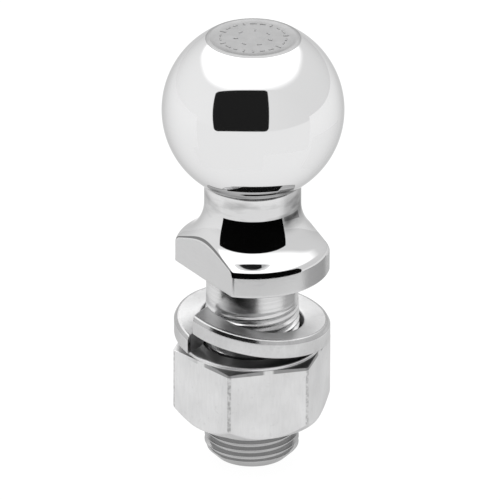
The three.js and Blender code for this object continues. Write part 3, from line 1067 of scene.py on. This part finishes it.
@dataclass
class HexNut:
    """Hex nut with a round washer face above and a steep chamfer below.

    Attributes:
        across_flats: Distance between opposite flats.
        bottom: Height of the lower face.
        height: Height of the nut.
        turn: Direction of a corner, in degrees from the front.
        face_radius: Radius of the round washer face.
        face_height: Height of the washer face above the upper chamfer.
        face_chamfer: Radius of the washer face's edge.
        top_slope: Slope of the upper chamfer, in degrees.
        bottom_radius: Radius of the flat lower face.
        bottom_slope: Slope of the lower chamfer, in degrees.
        bore_radius: Radius of the bore's thread crests.
        thread_radius: Radius of the bore's thread roots.
        countersink: Width of the countersinks.
        corner_round: Rounding of the hexagon's corners.
        edge_round: Rounding between the hexagon and the chamfers.
        land_round: Radius at the washer face's foot.
        blank_margin: How far the turned blank reaches past the corners.
        columns: Number of steps round the nut.
    """

    across_flats: float = 36.85
    bottom: float = 12.1
    height: float = 20.75
    turn: float = -16.4
    face_radius: float = 18.3
    face_height: float = 0.8
    face_chamfer: float = 0.4
    top_slope: float = 8.0
    bottom_radius: float = 18.25
    bottom_slope: float = 47.0
    bore_radius: float = 11.68
    thread_radius: float = 12.65
    countersink: float = 0.7
    corner_round: float = 0.682
    edge_round: float = 0.35
    land_round: float = 0.15
    blank_margin: float = 0.6
    columns: int = 288

    def profile(self) -> list[Point]:
        """Outline of the turned blank, from the lower bore mouth out and back to the upper one."""
        mouth = self.thread_radius + self.countersink
        top = self.bottom + self.height
        land = top - self.face_height
        reach = self.across_flats / math.sqrt(3.0) + self.blank_margin
        low = self.bottom + (reach - self.bottom_radius) * math.tan(math.radians(self.bottom_slope))
        high = land - (reach - self.face_radius) * math.tan(math.radians(self.top_slope))
        corner = self.face_radius - self.face_chamfer
        foot = self.face_radius + self.land_round
        return chain(
            line((mouth, self.bottom), (self.bottom_radius, self.bottom), 6),
            line((self.bottom_radius, self.bottom), (reach, low), 34),
            line((reach, low), (reach, high), 12),
            line((reach, high), (foot, land), 30),
            arc((foot, land + self.land_round), self.land_round, -90.0, -180.0, 3),
            line((self.face_radius, land + self.land_round), (self.face_radius, top - self.face_chamfer), 2),
            arc((corner, top - self.face_chamfer), self.face_chamfer, 0.0, 90.0, 6),
            line((corner, top), (mouth, top), 6),
        )

    def cut_hexagon(self, radius: np.ndarray, height: np.ndarray, angle: np.ndarray) -> tuple:
        """Gathers columns near the six corners and pulls the blank in to the hexagon."""
        sector = math.radians(60.0)
        start = math.radians(self.turn - 90.0)
        place = (angle - start) / sector
        index = np.floor(place)
        share = 2.0 * (place - index) - 1.0
        warped = np.sin(share * math.pi / 2.0)
        away = warped * sector / 2.0
        apothem = self.across_flats / 2.0
        here = apothem / np.cos(away)
        beside = apothem / np.cos(sector - np.abs(away))
        limit = smooth_min(here, beside, self.corner_round)
        return smooth_min(radius, limit, self.edge_round), height, start + (index + 0.5) * sector + away

    def build(self) -> bpy.types.Object:
        """Spins the blank and cuts the hexagon."""
        obj = spin_profile("hex_nut_body", self.profile(), self.columns)
        reshape(obj, self.cut_hexagon)
        smooth_by_angle(obj, 35.0)
        return obj

    def flare_mouths(self, radius: np.ndarray, height: np.ndarray, angle: np.ndarray) -> tuple:
        """Countersinks both ends of the bore."""
        mouth = self.thread_radius + self.countersink
        low = mouth - (height - self.bottom)
        high = mouth - (self.bottom + self.height - height)
        return np.maximum(radius, np.maximum(low, high)), height, angle

    def build_bore(self) -> bpy.types.Object:
        """Threaded bore with its countersinks."""
        obj = ScrewThread("hex_nut_bore", self.thread_radius, self.bore_radius, self.bottom,
                          self.bottom + self.height, inside=True, segments=96).build()
        reshape(obj, self.flare_mouths)
        activate(obj)
        bpy.ops.object.mode_set(mode="EDIT")
        bpy.ops.mesh.select_all(action="SELECT")
        bpy.ops.mesh.normals_make_consistent(inside=True)
        bpy.ops.object.mode_set(mode="OBJECT")
        smooth_by_angle(obj, 25.0)
        return obj

    def dress(self, body: bpy.types.Object, bore: bpy.types.Object) -> None:
        """Satin zinc plate outside, turned plate inside."""
        # Painted shade darkens the nut's top, except its left part and a ring at the washer face's edge, and
        # faces that look down.
        plate = PlatedFinish("zinc_plate", 0.66, 0.36, mottle=0.05, shade_heights=((30.9, 31.0),),
                             shade_side=((-18.0, -10.0),), worn=((20.92, 21.06),),
                             unshaded_ring=((17.72, 17.8), (18.5, 18.44)))
        body.data.materials.append(plate.material())
        bore.data.materials.append(TurnedFinish("zinc_bore", reflectance=0.6, anisotropy=0.3).material())
        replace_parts(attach(body, "hex_nut"), "hex_nut")
        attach(bore, "hex_nut")


# ---------------------------------------------------------------- stage


def emission_material(name: str, strength: Callable[[Shader], object],
                      solid: Callable[[Shader], object]) -> bpy.types.Material:
    """A glowing surface.

    Args:
        name: Name of the material.
        strength: Makes the brightness from the shader, as a number or a socket.
        solid: Makes how solid the surface is, 0 to 1, as a number or a socket.

    Returns:
        The material.
    """
    s = Shader(name)
    s.nodes.remove(s.principled)
    emission = s.nodes.new("ShaderNodeEmission")
    emission.inputs["Color"].default_value = (1.0, 1.0, 1.0, 1.0)
    s.feed(emission.inputs["Strength"], strength(s))
    mix = s.nodes.new("ShaderNodeMixShader")
    s.feed(mix.inputs[0], solid(s))
    s.feed(mix.inputs[1], s.nodes.new("ShaderNodeBsdfTransparent").outputs[0])
    s.feed(mix.inputs[2], emission.outputs[0])
    s.feed(s.nodes["Material Output"].inputs["Surface"], mix.outputs[0])
    return s.material


def place_on_stage(obj: bpy.types.Object, dark_for: tuple[str, ...] = ()) -> None:
    """Hides a reflector from the camera and keeps its light off some pieces.

    Args:
        obj: The reflector.
        dark_for: Pieces that see it black.
    """
    obj.visible_camera = False
    if dark_for:
        lit = bpy.data.collections.new(f"lit_by_{obj.name}")
        for other in bpy.context.scene.objects:
            if other.type == "MESH" and other.name not in dark_for and other != obj:
                lit.objects.link(other)
        obj.light_linking.receiver_collection = lit


@dataclass(frozen=True)
class Softbox:
    """Level sheet of light above the object, with round corners and soft edges.

    Attributes:
        half: Half of the width and of the depth, in metres.
        centre: Centre in metres.
        light: Brightness at the middle.
        corner: Radius of the corners, in metres.
        soft: Width of the fading edge, in metres.
    """

    half: tuple[float, float]
    centre: Triple
    light: float
    corner: float
    soft: float

    def build(self) -> None:
        """Makes the softbox."""
        deselect_all()
        bpy.ops.mesh.primitive_plane_add(size=2.0, location=self.centre)
        obj = bpy.context.active_object
        obj.name = "softbox"
        obj.scale = (*self.half, 1.0)
        obj.data.materials.append(emission_material("softbox", lambda _: self.light, self.fade))
        place_on_stage(obj)

    def fade(self, s: Shader) -> bpy.types.NodeSocket:
        """Solid in the middle and clear at the edges."""
        x, y, _ = s.separate(s.coords)
        half_x, half_y = self.half
        flats = (half_x - self.corner, half_y - self.corner)
        away = s.rounded_box(s.times(x, half_x), s.times(y, half_y), flats)
        return s.step(away, self.corner, self.corner - self.soft)


@dataclass(frozen=True)
class CameraWindow:
    """Dark opening in the screen, with round corners; heights in mm, azimuths in degrees from the front.

    Attributes:
        middle: Azimuth of the middle at height 0, and its change per mm of height.
        half_width: Half width at height 0, and its change per mm of height.
        centre: Height of the centre at azimuth 0, and its drop per squared degree.
        half_height: Half height at azimuth 0, and its drop per squared degree.
        corner: Corner radius as a share of the half size.
        light: Brightness inside.
        sides: Brightness of the screen round it, at the far left and the far right.
        foot: Heights up to which the screen is as bright as the floor, and from which it has its own.
        soft: Half width of the opening's blurred outline, as a share of the half size.
    """

    middle: tuple[float, float] = (-13.5, -0.01475)
    half_width: tuple[float, float] = (30.0, 0.03525)
    centre: tuple[float, float] = (262.5, -0.02625)
    half_height: tuple[float, float] = (173.5, -0.01225)
    corner: float = 0.15
    light: float = 0.012
    sides: tuple[float, float] = (1.05, 0.89)
    foot: Ramp = (80.0, 88.0)
    soft: float = 0.012

    def share(self, s: Shader) -> bpy.types.NodeSocket:
        """1 inside the window and 0 outside."""
        x, y, z = s.separate(s.coords)
        azimuth = s.times(s.math("ARCTAN2", x, s.times(y, -1.0)), math.degrees(1.0))
        height = s.math("DIVIDE", z, MM)
        square = s.times(azimuth, azimuth)

        def along(law: tuple[float, float], value: object) -> bpy.types.NodeSocket:
            """A start value and its change per unit of value."""
            return s.math("ADD", law[0], s.times(value, law[1]))

        across = s.math("DIVIDE", s.math("SUBTRACT", azimuth, along(self.middle, height)),
                        along(self.half_width, height))
        up = s.math("DIVIDE", s.math("SUBTRACT", height, along(self.centre, square)),
                    along(self.half_height, square))
        away = s.rounded_box(across, up, (1.0 - self.corner, 1.0 - self.corner))
        return s.step(away, self.corner + self.soft, self.corner - self.soft)


@dataclass(frozen=True)
class Sweep:
    """A straight band of the studio, spun part of the way round the object.

    Attributes:
        name: Name of the object.
        first_edge: Radius and height of one edge.
        last_edge: Radius and height of the other, which is the top of a standing band.
        start: First angle from the front, in degrees.
        end: Last angle.
        light: Brightness of the surface.
        dark_for: Pieces that see the whole band black.
        window: The dark opening in it, if any.
        drop: How far the top falls towards the sides, in mm per squared degree.
        solid: Share of the light behind that the band holds back.
    """

    name: str
    first_edge: Point
    last_edge: Point
    start: float
    end: float
    light: float
    dark_for: tuple[str, ...] = ()
    window: CameraWindow | None = None
    drop: float = 0.0
    solid: float = 1.0
    segments: int = 96

    def dome(self, radius: np.ndarray, height: np.ndarray, angle: np.ndarray) -> tuple:
        """Lowers the sides of the band."""
        from_front = np.degrees(np.mod(angle + 1.5 * math.pi, 2.0 * math.pi) - math.pi)
        return radius, height * (1.0 - self.drop * from_front**2 / self.last_edge[1]), angle

    def build(self) -> None:
        """Spins the band and turns it to its place."""
        sweep = math.radians(self.end - self.start)
        obj = spin_profile(self.name, [self.first_edge, self.last_edge], self.segments, sweep)
        obj.data.transform(Matrix.Rotation(math.radians(self.end - 90.0), 4, "Z"))
        reshape(obj, self.dome)
        obj.data.materials.append(emission_material(self.name, self.strength, lambda _: self.solid))
        place_on_stage(obj, self.dark_for)

    def strength(self, s: Shader) -> object:
        """Even light, or for a screen with an opening its own light, dark in the opening."""
        if self.window is None:
            return self.light
        x, _, z = s.separate(s.coords)
        reach = self.first_edge[0] * MM
        wall = s.remap(x, -reach, reach, *self.window.sides)
        wall = s.mix(s.ramps(z, self.window.foot), self.light, wall)
        return s.mix(self.window.share(s), wall, self.window.light)


@dataclass
class Studio:
    """White floor, pale tent, overhead softbox, and a screen with a dark opening; camera sizes in metres.

    Attributes:
        elevation: Height of the camera above the horizon, in degrees.
        distance: Distance of the camera from its target on the axis.
        focal_length: Focal length of the lens, in mm.
        aim_height: Height of the target.
        aim_right: How far right of the target the lens points.
        aim_up: How far above the target the lens points.
        roll: Roll of the camera, in radians.
        tent_light: Brightness of the surroundings at the left and the right.
        floor_albedo: Share of the light that the floor returns.
        floor_glow: Brightness of the floor without other light.
        screen_radius: Radius of the screen round the front, in mm.
        sheet_height: Height of the low sheets above the floor, in mm.
        sheet_light: Brightness of the low sheets.
    """

    elevation: float = 25.62
    distance: float = 3.2429
    focal_length: float = 894.69
    aim_height: float = 0.06081
    aim_right: float = -0.000638
    aim_up: float = -0.002174
    roll: float = 0.004
    tent_light: tuple[float, float] = (1.05, 0.89)
    floor_albedo: float = 0.04
    floor_glow: float = 0.96
    screen_radius: float = 300.0
    sheet_height: float = 0.5
    sheet_light: float = 1.02

    def axes(self) -> tuple[Vector, Vector, Vector]:
        """Right, up and back directions of the camera."""
        e = math.radians(self.elevation)
        return (Vector((1.0, 0.0, 0.0)), Vector((0.0, math.sin(e), math.cos(e))),
                Vector((0.0, -math.cos(e), math.sin(e))))

    def camera(self) -> None:
        """Long-lens camera in front of the object, looking along +Y and down."""
        right, up, back = self.axes()
        target = Vector((0.0, 0.0, self.aim_height))
        place = target + back * self.distance
        aim = target + right * self.aim_right + up * self.aim_up
        data = bpy.data.cameras.new("camera")
        data.lens = self.focal_length
        data.sensor_width = 36.0
        data.clip_start = 0.1
        data.clip_end = 50.0
        obj = bpy.data.objects.new("camera", data)
        bpy.context.scene.collection.objects.link(obj)
        turn = (aim - place).to_track_quat("-Z", "Y").to_matrix().to_4x4()
        obj.matrix_world = Matrix.Translation(place) @ turn @ Matrix.Rotation(self.roll, 4, "Z")
        bpy.context.scene.camera = obj

    def floor(self) -> None:
        """Plain white floor."""
        deselect_all()
        bpy.ops.mesh.primitive_plane_add(size=40.0)
        obj = bpy.context.active_object
        obj.name = "floor"
        s = Shader("floor")
        s.socket("Base Color").default_value = (*[self.floor_albedo] * 3, 1.0)
        s.socket("Roughness").default_value = 0.9
        s.socket("Emission Color").default_value = (1.0, 1.0, 1.0, 1.0)
        s.socket("Emission Strength").default_value = self.floor_glow
        obj.data.materials.append(s.material)

    def world(self) -> None:
        """Pale light from all round, a little brighter on the left."""
        world = bpy.data.worlds.new("tent")
        world.use_nodes = True
        background = world.node_tree.nodes["Background"]
        background.inputs["Color"].default_value = (1.0, 1.0, 1.0, 1.0)
        links = world.node_tree.links
        coords = world.node_tree.nodes.new("ShaderNodeTexCoord")
        split = world.node_tree.nodes.new("ShaderNodeSeparateXYZ")
        spread = world.node_tree.nodes.new("ShaderNodeMapRange")
        links.new(coords.outputs["Generated"], split.inputs[0])
        links.new(split.outputs["X"], spread.inputs["Value"])
        for name, number in (("From Min", -1.0), ("From Max", 1.0), ("To Min", self.tent_light[0]),
                             ("To Max", self.tent_light[1])):
            spread.inputs[name].default_value = number
        links.new(spread.outputs["Result"], background.inputs["Strength"])
        bpy.context.scene.world = world

    def reflectors(self) -> None:
        """Overhead softbox, the screen round the front with the camera's window, and floor sheets."""
        Softbox(half=(1.42, 1.7), centre=(-0.1, 0.67, 1.1), light=2.0, corner=1.25, soft=0.55).build()
        screen, low, near, inner = self.screen_radius, self.sheet_height, 162.0, 80.0
        light, flange, shank = self.sheet_light, ("flared_flange",), ("shank",)
        bands = (
            Sweep("front_screen", (screen, low), (screen, 445.0), -71.0, 72.0, light, flange,
                  CameraWindow(), drop=0.0385),
            Sweep("front_floor_left", (near, low), (screen, low), -71.0, 14.0, light, flange + shank),
            Sweep("front_floor_right", (near, low), (screen, low), 14.0, 72.0, light, flange),
            Sweep("shank_floor", (inner, low), (near, low), -80.0, 14.0, light, shank),
            Sweep("right_floor", (inner, low), (250.0, low), 77.0, 130.0, light, flange + shank,
                  solid=0.5),
        )
        for band in bands:
            band.build()

    def build(self) -> None:
        """Sets the whole stage."""
        self.world()
        self.floor()
        self.reflectors()
        self.camera()
        bpy.context.scene.view_settings.view_transform = "Standard"


def main() -> None:
    """Builds every piece, dresses it and sets the stage."""
    logging.basicConfig(level=logging.INFO, format="%(name)s: %(message)s")
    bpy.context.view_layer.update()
    for maker in (ForgedBall(), FlaredFlange(), TopMarks(), Shank(), LockWasher()):
        piece = maker.build()
        maker.dress(piece)
        LOG.info("%s: %d vertices", piece.name, len(piece.data.vertices))
    nut = HexNut()
    body, bore = nut.build(), nut.build_bore()
    nut.dress(body, bore)
    LOG.info("%s: %d vertices, %s: %d vertices", body.name, len(body.data.vertices), bore.name,
             len(bore.data.vertices))
    Studio().build()
    deselect_all()


if __name__ == "__main__":
    main()
